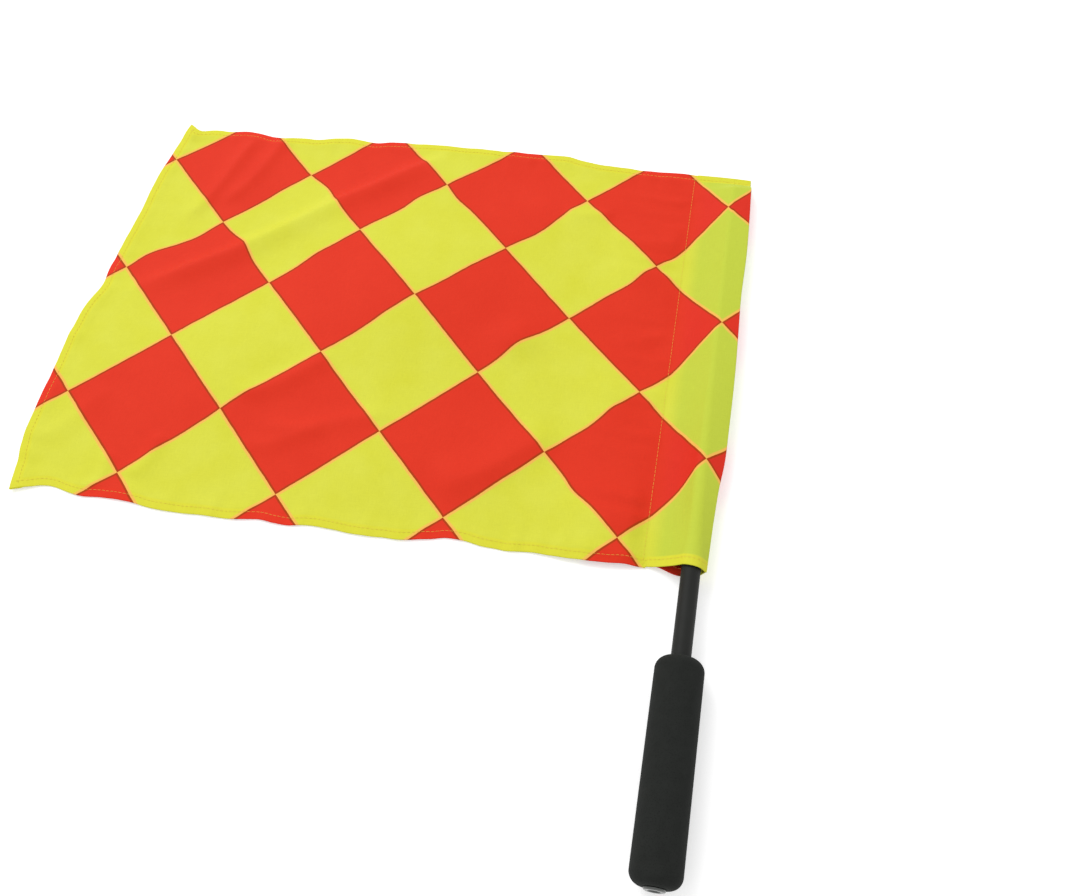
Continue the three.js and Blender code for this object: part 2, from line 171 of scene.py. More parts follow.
class Nodes:
    def __init__(self, tree):
        self.tree = tree

    # every node comes from here: its type, its settings, and the values or links of its sockets
    def node(self, kind, settings=None, inputs=None, output=0):
        made = self.tree.nodes.new(kind)
        for name, value in (settings or {}).items():
            setattr(made, name, value)
        for name, value in (inputs or {}).items():
            if isinstance(value, Varying):
                self.tree.links.new(value.socket, made.inputs[name])
            else:
                made.inputs[name].default_value = value
        return Varying(self, made.outputs[output])

    def blend(self, a, b, share):
        return self.node("ShaderNodeMix", {"data_type": "RGBA"}, {0: share, 6: a, 7: b}, output=2)

    def shade(self, colour, strength):
        sockets = {0: colour, "Scale": strength}
        return self.node("ShaderNodeVectorMath", {"operation": "SCALE"}, sockets)

    def noise(self, where, scale, detail=2.0):
        return self.node("ShaderNodeTexNoise", None, {"Vector": where, "Scale": scale, "Detail": detail})

    # noise that is stretched along one way of the surface
    def threads(self, x, y):
        return self.noise(self.node("ShaderNodeCombineXYZ", None, {0: x, 1: y}), 1.0, 1.0)

    # the two coordinates of a UV map, in metres
    def flatPlace(self, label):
        where = self.node("ShaderNodeUVMap", {"uv_map": label})
        x = self.node("ShaderNodeSeparateXYZ", None, {0: where})
        y = Varying(self, x.socket.node.outputs[1])
        return where, x, y

    def place(self):
        return self.node("ShaderNodeTexCoord", output=3)

    # 1 where the camera, a reflection or glass looks at the background itself
    def seenDirectly(self):
        camera = self.node("ShaderNodeLightPath")
        rays = camera.socket.node.outputs
        glossy, clear = [Varying(self, rays[name]) for name in ("Is Glossy Ray", "Is Transmission Ray")]
        return camera.most(glossy).most(clear)


class Finish(Nodes):
    def __init__(self, name, settings):
        self.material = bpy.data.materials.new(name)
        self.material.use_nodes = True
        super().__init__(self.material.node_tree)
        self.shader = self.tree.nodes["Principled BSDF"]
        for socket, value in settings.items():
            self.shader.inputs[socket].default_value = value

    def use(self, socket, value):
        self.tree.links.new(value.socket, self.shader.inputs[socket])

    # the height is in metres
    def raised(self, height):
        inputs = {"Strength": 1.0, "Distance": 1.0, "Height": height}
        self.use("Normal", self.node("ShaderNodeBump", None, inputs))


# a colour as picked on a screen, from 0 to 255
def screen(red, green, blue):
    light = [c / 255 for c in (red, green, blue)]
    return (*[c / 12.92 if c < 0.04 else ((c + 0.055) / 1.055) ** 2.4 for c in light], 1.0)


# The cloth is one sheet. It has a place for each (across, along) of its flat cut: across runs from
# the fly edge over the panel, round the pole and back to the seam, and along from the mouth to the
# tip. Turned edges lie at places below 0 and past the far end.
cloth = {
    # the outline: (x, y) along the lower and upper edge, (share of the length, x) down the fly edge
    "bottomEdge": [(-400, -14.8), (-394, -12.3), (-384, -8.8), (-374, -6.7), (-356, -9.6), (-337, -9.1),
                   (-324, -9), (-306, -11), (-290, -10.5), (-258, -9.3), (-245, -7.6), (-234, -8.6),
                   (-213, -6.2), (-190, -7.2), (-156, -5.6), (-137, -1.4), (-125, -1.5), (-108, -3.3),
                   (-86, -1.8), (-63, -2.9), (-42, -1.6), (-24, -0.5)],
    "topEdge": [(-400, 291), (-392, 289.6), (-385, 285.8), (-376, 288), (-360, 288.5), (-350, 290.5),
                (-342, 290), (-322, 287.8), (-308, 289.9), (-299, 290.2), (-272, 294.7), (-258, 293.1),
                (-243, 295.3), (-222, 296.4), (-166, 297.8), (-137, 298.7), (-114, 299), (-98, 295.6),
                (-82, 295.1), (-66, 293.6), (-40, 294.6), (-24, 295)],
    "flyEdge": [(-0.08, -392), (-0.04, -394.5), (0, -397.2), (0.08, -402.5), (0.16, -403.7),
                (0.26, -404.3), (0.34, -405.2), (0.42, -403.8), (0.48, -399.8), (0.52, -400.8),
                (0.57, -400.9), (0.68, -399.8), (0.73, -399.8), (0.81, -400), (0.88, -397),
                (0.95, -395), (1, -392.6)],
    "cornerLow": (-394.9, -12.3),
    "cornerHigh": (-392.8, 289.8),
    "sleeveTop": 295,
    "edgeRipple": (0.45, 0.45, 0.2),  # at the lower, upper and fly edge
    "edgeRippleStep": 9,
    # the flat cut: the sizes that its places are counted in, then the lengths measured along its folds
    "panelWidth": 370,
    "hemWidth": 6,
    "allowance": 8,
    "thickness": 0.18,
    "panelCut": 378,
    "lengthCut": 300,
    "sleeveGirth": 82,
    # the panel
    "rest": 0.4,
    "hemDrop": 0.45,
    "hemStep": 1.5,
    "hemPucker": 0.8,
    "hemPuckerReach": 9,
    "hemPuckerStep": 6.5,
    "cornerLift": 1.0,
    "cornerReach": 9,
    "seamHeight": 1.3,
    "seamEase": 12,
    "seamPucker": 2.6,
    "seamPuckerReach": 22,
    "seamPuckerStep": 6,
    "seamPuckerSlant": 0.1,
    # the sleeve's section, in (share of the length, value) pairs from mouth to tip
    "seamReach": (24.6, 26.2),  # from the axis, at the mouth and at the tip
    "foldReach": [(0, 8.4), (0.12, 9.5), (0.17, 10.3), (0.22, 11.8), (0.3, 12.3), (0.45, 12.4),
                  (0.53, 11.9), (0.62, 11.3), (0.75, 12.0), (0.85, 11.5), (0.95, 10.7), (1, 10.6)],
    "foldHeight": [(0, 11.0), (0.2, 11.2), (0.47, 12.5), (0.88, 11.2), (1, 10.5)],
    "flankSteepness": [(0, 1.8), (0.08, 2.0), (0.16, 2.4), (0.28, 1.7), (0.41, 1.4), (1, 1.4)],
    "flankLift": 0.3,
    "tubeGap": 0.35,
    "mouthFlare": 1.3,
    "mouthFlareReach": 26,
    "crease": 0.55,
    "hangTurn": 112,
    "landing": 1.0,
    "landingGap": 1,
    "underDrop": 0.05,
    # the sleeve's closed end
    "closedBefore": 3,
    "closedRadius": 1.6,
    "closedMiddle": 0.4,
    "closedSteepness": 1.1,
    "closedTurn": 176,
    # the slant of its mouth, and how it leans and wrinkles; reaches across it are counted in columns
    "mouthLean": [0, 0.3, 2.6, 2.6, 2.0, 2.2, 2.2, 0.6, 0, 0],
    "underLeanShares": (0.3, 0.6),
    "leanPower": 3.6,
    "tipLean": 2.5,
    "tipLeanPlace": 0.86,
    "tipLeanReach": 0.11,
    "tipLeanColumns": 13,
    "tuck": 1.8,
    "tuckFrom": 8,
    "tuckColumns": 12,
    "wrinkle": 0.22,
    "wrinkleStep": 5,
    "wrinkleTurn": 0.4,
    "wrinkleMiddle": 5,
    "wrinkleColumns": 9,
    # how the print is drawn in there
    "tipGather": 0.1,
    "gatherFrom": 0.3,
    "hiddenEase": 5.5,
    "easeColumns": 20,
}
# (x, y, reach along x, reach along y, height) of each soft rise in the cloth
swells = [
    (-200, 168, 66, 58, 8.0),
    (-252, 214, 36, 30, 2.6),
    (-300, 92, 60, 60, 4.2),
    (-392, 95, 34, 60, 2.0),
    (-196, 264, 28, 24, 3.2),
    (-122, 138, 15, 13, 3.4),
    (-48, 20, 26, 34, 4.4),
    (-56, 206, 18, 34, 2.4),
    (-58, 100, 14, 24, 1.5),
    (-120, 240, 50, 26, 2.4),
    (-185, 45, 45, 40, 2.0),
    (-340, 250, 30, 26, 1.4),
    (-392, 262, 20, 18, 1.2),
]
# (x, y, reach along x, reach along y, shift along x, shift along y) of each place where the print is
# pulled out of square
pulls = [
    (-339, 10, 50, 40, 2.0, 0),
    (-70, 261, 60, 30, -2.6, 0),
    (-80, 95, 80, 50, 1.3, 0.2),
    (-342, 208, 40, 30, 1.2, -0.8),
    (-293, 258, 40, 30, 0.6, -1.0),
    (3, 62, 16, 30, -1.0, 2.0),
    (3, 262, 20, 25, -1.6, -0.4),
    (-340, 130, 90, 130, 1.1, -0.4),
    (-180, 40, 90, 50, 0.7, -0.9),
    (-60, 185, 60, 60, 0.6, -0.9),
    (-279, 242, 14, 12, 1.4, 3.2),
    (-320, 187, 13, 12, 0.9, 3.2),
    (-322, 224, 26, 18, 0.7, -1.8),
    (-210, 243, 13, 11, -1.5, 2.3),
    (-378, 168, 13, 12, -2.2, 2.6),
    (-354, 190, 13, 12, 1.0, -2.2),
    (-126, 229, 22, 16, 1.6, -2.6),
    (-267, 186, 14, 12, -0.8, 1.4),
    (-226, 130, 18, 14, 0.7, -1.2),
    (-285, 66, 14, 12, -1.0, 1.4),
    (-184, 175, 18, 14, 0.8, -1.4),
    (-184, 249, 14, 12, -0.8, -1.6),
    (-34, 221, 14, 15, 1.5, -2.4),
    (-62, 194, 11, 11, 1.0, -2.2),
    (-121, 133, 12, 12, -0.8, 1.6),
    (-28, 126, 15, 15, 1.4, -1.6),
    (-70, 39, 9, 9, -0.8, -1.2),
    (-70, 84, 9, 9, 0.6, -1.0),
    (-56, 98, 8, 8, -0.6, 1.0),
]
# (x, y) of both ends, height, and the widths of the left and the right flank of each fold
folds = [
    ((-374, 142), (-202, 281), 4.8, 7, 11),
    ((-283, 70), (-232, 103), 2.3, 8, 8),
    ((-262, 52), (-187, 69), 1.8, 7, 8),
    ((-270, 38), (-222, 54), 1.3, 6, 7),
    ((-148, 30), (-88, 71), 3.4, 14, 11),
    ((-366, 205), (-338, 285), 2.3, 7, 6),
    ((-345, 222), (-316, 286), 1.9, 6, 6),
    ((-396, 20), (-360, 62), 1.2, 7, 9),
    ((-350, -4), (-343, 20), 1.4, 5, 5),
    ((-329, 8), (-316, 36), 1.8, 6, 7),
    ((-110, 249), (-78, 247), 1.4, 5, 7),
    ((-60, 150), (-30, 154), 0.8, 5, 6),
    ((-75, 232), (-30, 226), 1.0, 5, 7),
]
# the sway of a fold from side to side, the share of it that fades at each end, and its crest
foldForm = {"sway": 2.5, "swayTurn": 5, "fade": 0.25, "fadeStart": 0.35, "crest": 0.3, "crestFall": 1.6,
            "crestRound": 0.02}


def panelOutline(u, v):
    seamLow, seamHigh = [-reach for reach in cloth["seamReach"]]
    cornerLow, cornerHigh = np.array(cloth["cornerLow"]), np.array(cloth["cornerHigh"])
    lowX, highX = mix(cornerLow[0], seamLow, u), mix(cornerHigh[0], seamHigh, u)
    leftY, rightY = mix(cornerLow[1], cornerHigh[1], v), cloth["sleeveTop"] * v
    ripple = [reach * wander(w, cloth["edgeRippleStep"], seed)
              for seed, (w, reach) in enumerate(zip((lowX, highX, leftY), cloth["edgeRipple"]))]
    low = np.stack([lowX, through(cloth["bottomEdge"], lowX) + ripple[0]], -1)
    high = np.stack([highX, through(cloth["topEdge"], highX) + ripple[1]], -1)
    left = np.stack([through(cloth["flyEdge"], leftY / clothLength) + ripple[2], leftY], -1)
    right = np.stack([mix(seamLow, seamHigh, v), rightY], -1)
    across, along = u[..., None], v[..., None]
    flyChord = mix(cornerLow, cornerHigh, along)
    seamChord = mix(np.array((seamLow, 0)), np.array((seamHigh, cloth["sleeveTop"])), along)
    return mix(low, high, along) + mix(left, right, across) - mix(flyChord, seamChord, across)


def foldHeight(x, y, start, end, height, left, right):
    run, rise = end[0] - start[0], end[1] - start[1]
    length = math.hypot(run, rise)
    t = ((x - start[0]) * run + (y - start[1]) * rise) / length**2
    sway = foldForm["sway"] * np.sin(t * foldForm["swayTurn"])
    side = ((y - start[1]) * run - (x - start[0]) * rise) / length + sway
    inside = [smooth(way / foldForm["fade"] + foldForm["fadeStart"]) for way in (t, 1 - t)]
    share = side / np.where(side > 0, left, right)
    crest = np.exp(-foldForm["crestFall"] * np.sqrt(share**2 + foldForm["crestRound"]))
    return height * inside[0] * inside[1] * mix(bump(share, 1), crest, foldForm["crest"])


def panelHeight(x, y, u, v):
    height = np.full(x.shape, float(cloth["rest"]))
    for midX, midY, reachX, reachY, rise in swells:
        height += rise * bump(x - midX, reachX) * bump(y - midY, reachY)
    for fold in folds:
        height += foldHeight(x, y, *fold)
    hem, seam = cloth["hemWidth"], (1 - u) * cloth["panelWidth"]
    fly, low, high = u * cloth["panelWidth"], v * clothLength, (1 - v) * clothLength
    for distance, along, seed in ((fly, y, 3), (low, x, 5), (high, x, 8)):
        pucker = cloth["hemPucker"] * (1 + wander(along, cloth["hemPuckerStep"], seed)) / 2
        height += cloth["hemDrop"] * (1 - smooth(distance / hem - 1))
        height += pucker * bump(distance - hem, cloth["hemPuckerReach"])
    along = y + cloth["seamPuckerSlant"] * x
    pucker = cloth["seamPucker"] * (1 + wander(along, cloth["seamPuckerStep"], 11)) / 2
    height += pucker * np.exp(-seam / cloth["seamPuckerReach"])
    reach = cloth["cornerReach"]
    height += cloth["cornerLift"] * bump(fly, reach) * (bump(low, reach) + bump(high, reach))
    return mix(cloth["seamHeight"], height, smooth(seam / cloth["seamEase"]))


# the points that each part of the sleeve's section adds, and the column where the part ends
sectionSteps = {"flank": 20, "over": 14, "beside": 5, "crease": 10, "hang": 11, "under": 21, "behind": 5}
sectionEnds = dict(zip(sectionSteps, np.cumsum(list(sectionSteps.values())) - 1))


# the section of the sleeve at one place along it: from the seam up over the pole, out to the fold that
# hangs beside it, down to the floor and back below to the seam
def sleeveSection(y):
    share = y / clothLength
    seam = -mix(*cloth["seamReach"], share)
    low, high, crease = cloth["rest"], cloth["seamHeight"], cloth["crease"]
    closing = float(smooth((y - tipEnd) / (clothLength - cloth["closedBefore"] - tipEnd)))
    flare = cloth["mouthFlare"] * (1 - float(smooth(y / cloth["mouthFlareReach"])))
    radius = mix(radiusOf("shaft_tube") + cloth["tubeGap"] + flare, cloth["closedRadius"], closing)
    middle = mix(axisHeight(y), cloth["closedMiddle"], closing)
    steep = mix(float(through(cloth["flankSteepness"], share)), cloth["closedSteepness"], closing)
    # from a first guess, until the flank meets the round over the pole without a corner
    slope, rounds = 0.5, 30
    for _ in range(rounds):
        angle = math.atan(slope)
        reached = (-radius * math.sin(angle), middle + radius * math.cos(angle))
        slope = steep * (reached[1] - high) / (reached[0] - seam)
    t = np.linspace(0, 1, sectionSteps["flank"])
    run, rise = reached[0] - seam, reached[1] - high
    bend = cloth["flankLift"] * rise * t * (1 - t) ** 2 - slope * run * t * t * (1 - t)
    flank = np.stack([seam + run * t, high + rise * smooth(t) + bend], -1)

    fold = float(through(cloth["foldReach"], share))
    hang = mix(float(through(cloth["foldHeight"], share)), low + crease, closing)
    turn = np.array([fold - crease - cloth["thickness"] / 2, hang])
    away = turn - (0, middle)
    leave = math.pi / 2 - math.atan2(away[1], away[0]) - math.acos((radius - crease) / math.hypot(*away))
    over = np.linspace(-angle, leave, sectionSteps["over"] + 1)[1:]
    arc = np.stack([radius * np.sin(over), middle + radius * np.cos(over)], -1)
    hangTurn = math.radians(mix(cloth["hangTurn"], cloth["closedTurn"], closing))
    turns = np.linspace(leave, hangTurn, sectionSteps["crease"])
    tight = turn + crease * np.stack([np.sin(turns), np.cos(turns)], -1)
    beside = mix(arc[-1], tight[0], stepsTo(sectionSteps["beside"] + 1)[:-1])

    drop = tight[-1][1] - low
    bottom = np.array([tight[-1][0] + drop / math.tan(hangTurn), low])
    land = np.array([min(cloth["landing"], bottom[0] - cloth["landingGap"]), low])
    t = stepsTo(sectionSteps["hang"])
    down = (1 - t) ** 2 * tight[-1] + 2 * t * (1 - t) * bottom + t * t * land
    below = low - cloth["underDrop"]
    under = mix(land, np.array([seam, below]), stepsTo(sectionSteps["under"]))
    behind = mix(under[-1], np.array([seam - cloth["allowance"], below]), stepsTo(sectionSteps["behind"]))
    return np.concatenate([flank, arc, beside, tight, down, under, behind])


# how the grid's lines are spaced: distances from a turned edge on the strip below and on the layer
# above, distances before the seam, and the even steps between them
spacing = {
    "strip": [cloth["hemWidth"], 4.2, 2, 0.5, 0.15, 0],
    "edge": [0.15, 0.5, 1.2, 2.1, 3.2, 4.2, 5.2, 6, 6.8, 8],
    "seam": [7.5, 6, 4.8, 3.6, 2.4, 1.2, 0],
    "afterEdge": 10,
    "beforeSeam": 9,
    "evenColumns": 198,
    "evenRows": 152,
}


# the distance of each column from the fly edge and of each row from the mouth, and -1 or 1 where a row
# is turned under at the near or the far edge
def gridLines():
    strip, edge, start = np.array(spacing["strip"]), np.array(spacing["edge"]), spacing["afterEdge"]
    panelWidth = cloth["panelWidth"]
    evenColumns = np.linspace(start, panelWidth - spacing["beforeSeam"], spacing["evenColumns"])
    evenRows = np.linspace(start, clothLength - start, spacing["evenRows"])
    columnPlaces = np.concatenate([strip, edge, evenColumns, panelWidth - np.array(spacing["seam"])])
    rowPlaces = np.concatenate([strip, edge, evenRows, clothLength - edge[::-1], clothLength - strip[::-1]])
    rowTurn = np.zeros(len(rowPlaces), int)
    rowTurn[: len(strip)] = -1
    rowTurn[-len(strip):] = 1
    return columnPlaces, rowPlaces, rowTurn


columnPlaces, rowPlaces, rowTurn = gridLines()
stripCount, panelColumns = len(spacing["strip"]), len(columnPlaces)
nearFold, farFold = stripCount - 1, -stripCount


def panelGrid():
    u, v = np.meshgrid(columnPlaces / cloth["panelWidth"], rowPlaces / clothLength)
    plan = panelOutline(u, v)
    height = panelHeight(plan[..., 0], plan[..., 1], u, v)
    return np.concatenate([plan, height[..., None]], -1)


# the sleeve's points, and how far round it each lies from the seam
def sleeveGrid():
    sections = np.array([sleeveSection(y) for y in rowPlaces])
    steps = np.linalg.norm(np.diff(sections, axis=1), axis=2)
    girth = np.concatenate([np.zeros((len(rowPlaces), 1)), np.cumsum(steps, 1)], 1)
    v, k = rowPlaces[:, None] / clothLength, np.arange(sections.shape[1])
    # the mouth slants: the upper layer comes forward over the pole, and the lower one behind it
    flank, hang, under = [sectionEnds[part] for part in ("flank", "hang", "under")]
    overPole = (flank + sectionEnds["over"]) / 2
    leanPlaces = [0, flank / 2, overPole, sectionEnds["beside"], sectionEnds["crease"], hang,
                  *[mix(hang, under, share) for share in cloth["underLeanShares"]],
                  under, sectionEnds["behind"]]
    lean = -through(list(zip(leanPlaces, cloth["mouthLean"])), k)
    byMouth, byTip = [np.clip(way, 0, 1) ** cloth["leanPower"] for way in (1 - v, v)]
    tipLean = -cloth["tipLean"] * bump(v - cloth["tipLeanPlace"], cloth["tipLeanReach"])
    tipLean = tipLean * bump(k - overPole, cloth["tipLeanColumns"])
    y = cloth["sleeveTop"] * v + lean * byMouth + tipLean
    # the hidden strip by the seam ends a little inside both edges
    inside = cloth["tuck"] * smooth((k - hang - cloth["tuckFrom"]) / cloth["tuckColumns"])
    y = y + inside * (byMouth - byTip)
    wrinkle = cloth["wrinkle"] * wander(y + k * cloth["wrinkleTurn"], cloth["wrinkleStep"], 21)
    height = sections[..., 1] + wrinkle * bump(k - cloth["wrinkleMiddle"], cloth["wrinkleColumns"])
    return np.stack([sections[..., 0], y, height], -1), girth


# the place of each point on the flat cut
def cutPlaces(girth):
    panel = np.tile(columnPlaces, (len(rowPlaces), 1))
    panel[:, :stripCount] *= -1
    x = np.concatenate([panel, cloth["panelWidth"] + girth[:, 1:]], 1)
    y = np.select([rowTurn < 0, rowTurn > 0], [-rowPlaces, 2 * clothLength - rowPlaces], rowPlaces)
    return x, np.broadcast_to(y[:, None], x.shape)


# the place of each point on the print, which lies square on the panel and goes on round the pole
def printPlaces(panel, sleeve, girth):
    v, k = rowPlaces[:, None] / clothLength, np.arange(1, girth.shape[1])
    gathered = 1 + cloth["tipGather"] * smooth((v - cloth["gatherFrom"]) / (1 - cloth["gatherFrom"]))
    eased = cloth["hiddenEase"] * smooth((k - sectionEnds["beside"]) / cloth["easeColumns"])
    squareX = np.concatenate([panel[..., 0], panel[:, -1:, 0] + girth[:, 1:] * gathered + eased], 1)
    squareY = np.concatenate([panel[..., 1], np.repeat(sleeve[:, :1, 1], len(k), 1)], 1)
    x, y = squareX.copy(), squareY.copy()
    for midX, midY, reachX, reachY, shiftX, shiftY in pulls:
        near = bump(squareX - midX, reachX) * bump(squareY - midY, reachY)
        x -= shiftX * near
        y -= shiftY * near
    # on a turned strip the print goes on past the fold
    x[:, :stripCount] = 2 * panel[:, nearFold:stripCount, 0] - x[:, :stripCount]
    y[rowTurn < 0] = 2 * y[nearFold] - y[rowTurn < 0]
    y[rowTurn > 0] = 2 * y[farFold] - y[rowTurn > 0]
    return x, y


# how far each point lies below the upper layer: turned strips lie under what they are folded from,
# and in a corner one lies under the other
def stripDrop():
    columns = panelColumns + sum(sectionSteps.values()) - 1
    columnDrop, stacked = np.zeros(columns), np.zeros(columns)
    columnDrop[:stripCount] = 1
    columnDrop[nearFold] = 0.5
    rowDrop = np.abs(rowTurn).astype(float)[:, None]
    rowDrop[[nearFold, farFold]] = 0.5
    stacked[:stripCount] = 1
    pastHem = (columnPlaces[stripCount:] - cloth["hemWidth"]) / cloth["hemStep"]
    stacked[stripCount:panelColumns] = 1 - smooth(pastHem)
    layers = columnDrop + rowDrop * (1 + 2 * stacked) - 2 * columnDrop * rowDrop * stacked
    return layers * cloth["hemDrop"]


# the way out of the upper face, found on rows and columns that run on past the folds
def upwards(points):
    alongWay, acrossWay = np.gradient(points, axis=0), np.gradient(points, axis=1)
    alongWay[rowTurn != 0] *= -1
    acrossWay[:, :stripCount] *= -1
    alongWay[[nearFold, farFold]] = alongWay[[nearFold + 2, farFold - 2]]
    acrossWay[:, nearFold] = acrossWay[:, nearFold + 2]
    return unit(np.cross(acrossWay, alongWay))


panelPoints = panelGrid()
sleevePoints, sleeveGirth = sleeveGrid()
cutX, cutY = cutPlaces(sleeveGirth)
printX, printY = printPlaces(panelPoints, sleevePoints, sleeveGirth)
upperPoints = np.concatenate([panelPoints, sleevePoints[:, 1:]], 1)
gridPoints = upperPoints - stripDrop()[..., None] * upwards(upperPoints)
rows, columns = cutX.shape
print("sleeve round", np.round(sleeveGirth[stripCount:farFold, sectionEnds["under"]].mean(), 1))
lengthAcross = np.linalg.norm(np.diff(gridPoints[:, nearFold:], axis=1), axis=2).sum(1).mean()
lengthAlong = np.linalg.norm(np.diff(gridPoints[nearFold:farFold + 1], axis=0), axis=2).sum(0).mean()
print("cloth across", round(float(lengthAcross), 1), "along", round(float(lengthAlong), 1))
print("cloth laid out, lowest", round(float(gridPoints[..., 2].min()), 2),
      "highest", round(float(gridPoints[..., 2].max()), 2))


def gridFaces():
    corner = np.arange(rows * columns).reshape(rows, columns)
    return np.stack([corner[:-1, :-1], corner[:-1, 1:], corner[1:, 1:], corner[1:, :-1]], -1).reshape(-1, 4)


dyeAndPaintedShade = {
    "red": screen(226, 54, 30),
    "redDeep": screen(219, 47, 24),
    "redHem": screen(230, 52, 28),
    "yellow": screen(219, 222, 78),
    "yellowDeep": screen(211, 212, 50),
    "yellowHem": screen(222, 217, 50),
    "hemShare": 0.6,
    "hemBlur": 1.2,
    "cloudScale": 45.0,
    # painted shade: the dark pole and the shadow inside the sleeve, which show through the thin cloth, are
    # painted in as a darker, greener colour
    "overPole": screen(186, 204, 66),
    "overPoleShadeRed": screen(214, 42, 34),
    "overPoleShadeShare": 0.75,
    "overPoleShadeShareRed": 0.4,
    "overPoleShadeFrom": 5,
    "overPoleShadeBlur": 12,
    "hemCoversShade": 0.75,
    # the printed squares and their borders
    "squareWide": 99,
    "start": (-392.2, 255.3),
    "turn": 1.515,
    "wobble": 0.012,
    "wobbleScale": 90.0,
    "border": screen(172, 58, 4),
    "halo": screen(245, 186, 88),
    "borderWide": 1.2,
    "haloWide": 1.5,
    "edgeBlur": 0.6,
    "haloBlur": 1.2,
}
# threads, slubs and creases to the metre, the share of colour the threads vary by, and depths in metres
weave = {
    "threads": 2800.0,
    "slubs": 170.0,
    "tint": 0.1,
    "threadDepth": 0.00004,
    "creases": 260.0,
    "creaseDepth": 0.00012,
}


# 1 where the cloth is turned over and sewn, at its outer edges
def hemBand(p, q):
    hem, blur = cloth["hemWidth"] * mm, dyeAndPaintedShade["hemBlur"] * mm
    ends = q.above(hem, blur) * (1.0 - q.above((clothLength - cloth["hemWidth"]) * mm, blur))
    return 1.0 - ends * p.above(hem, blur)


# 1 on the red squares, and the distance of each place from the nearest border in metres
def printedSquares(finish, printed, x, y):
    size, turn = dyeAndPaintedShade["squareWide"] * mm, dyeAndPaintedShade["turn"] * mm
    area = size**2 + turn**2
    fromX, fromY = x - dyeAndPaintedShade["start"][0] * mm, y - dyeAndPaintedShade["start"][1] * mm
    s = fromX * (size / area) + fromY * (turn / area)
    t = fromX * (turn / area) - fromY * (size / area)
    wobble = finish.noise(printed, dyeAndPaintedShade["wobbleScale"]) * dyeAndPaintedShade["wobble"] - dyeAndPaintedShade["wobble"] / 2
    a, b = s + t + wobble, s - t + wobble
    # the squares take turns: odd sums of the two counts are red
    counted = a.maths("FLOOR", a) + b.maths("FLOOR", b)
    isRed = 1.0 - counted.maths("FLOORED_MODULO", counted, 2.0)
    near = a.maths("PINGPONG", a, 0.5).least(b.maths("PINGPONG", b, 0.5)) * math.sqrt(area / 2)
    return isRed, near


def dyedClothWithPaintedShade():
    finish = Finish("dyedClothWithPaintedShade", {"Roughness": 0.7, "Specular IOR Level": 0.15})
    printed, x, y = finish.flatPlace("print")
    cut, p, q = finish.flatPlace("cut")
    isRed, near = printedSquares(finish, printed, x, y)
    cloudy = finish.noise(printed, dyeAndPaintedShade["cloudScale"], 3.0)
    hem = hemBand(p, q)
    # painted shade of the pole and the sleeve's inside, from just past the seam round the sleeve, weaker on
    # the hem band
    poleShadeMask = p.above((cloth["panelWidth"] + dyeAndPaintedShade["overPoleShadeFrom"]) * mm, dyeAndPaintedShade["overPoleShadeBlur"] * mm)
    poleShadeMask = poleShadeMask * (1.0 - hem * dyeAndPaintedShade["hemCoversShade"])
    red = finish.blend(dyeAndPaintedShade["red"], dyeAndPaintedShade["redDeep"], cloudy)
    red = finish.blend(red, dyeAndPaintedShade["overPoleShadeRed"], poleShadeMask * dyeAndPaintedShade["overPoleShadeShareRed"])
    red = finish.blend(red, dyeAndPaintedShade["redHem"], hem * dyeAndPaintedShade["hemShare"])
    yellow = finish.blend(dyeAndPaintedShade["yellow"], dyeAndPaintedShade["yellowDeep"], cloudy)
    yellow = finish.blend(yellow, dyeAndPaintedShade["overPole"], poleShadeMask * dyeAndPaintedShade["overPoleShadeShare"])
    yellow = finish.blend(yellow, dyeAndPaintedShade["yellowHem"], hem * dyeAndPaintedShade["hemShare"])
    red = finish.blend(dyeAndPaintedShade["border"], red, near.above(dyeAndPaintedShade["borderWide"] * mm, dyeAndPaintedShade["edgeBlur"] * mm))
    yellow = finish.blend(dyeAndPaintedShade["halo"], yellow, near.above(dyeAndPaintedShade["haloWide"] * mm, dyeAndPaintedShade["haloBlur"] * mm))
    # the threads of the weave, each thicker in one place than in the next
    fine, slow = weave["threads"], weave["slubs"]
    threads = finish.threads(p * fine, q * slow) + finish.threads(p * slow, q * fine)
    tint = threads * weave["tint"] + (1 - weave["tint"])
    finish.use("Base Color", finish.shade(finish.blend(yellow, red, isRed), tint))
    crease = finish.noise(cut, weave["creases"], 3.0) * weave["creaseDepth"]
    finish.raised(crease + threads * weave["threadDepth"])
    return finish.material


flagCloth = meshPiece(
    "flagCloth",
    toRow(*np.moveaxis(gridPoints.reshape(-1, 3), 1, 0)),
    gridFaces(),
    dyedClothWithPaintedShade(),
    "cloth",
    {
        "cut": np.stack([cutX, cutY], -1).reshape(-1, 2) * mm,
        "print": np.stack([printX, printY], -1).reshape(-1, 2) * mm,
    },
)
solid = flagCloth.modifiers.new("thickness", "SOLIDIFY")
solid.thickness = cloth["thickness"] * mm
solid.offset = 0
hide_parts("flag_panel", "pole_sleeve", "fly_hem", "top_hem", "bottom_hem", "mouth_hem",
            "seam_allowance", "sleeve_closure")
print("cloth made")


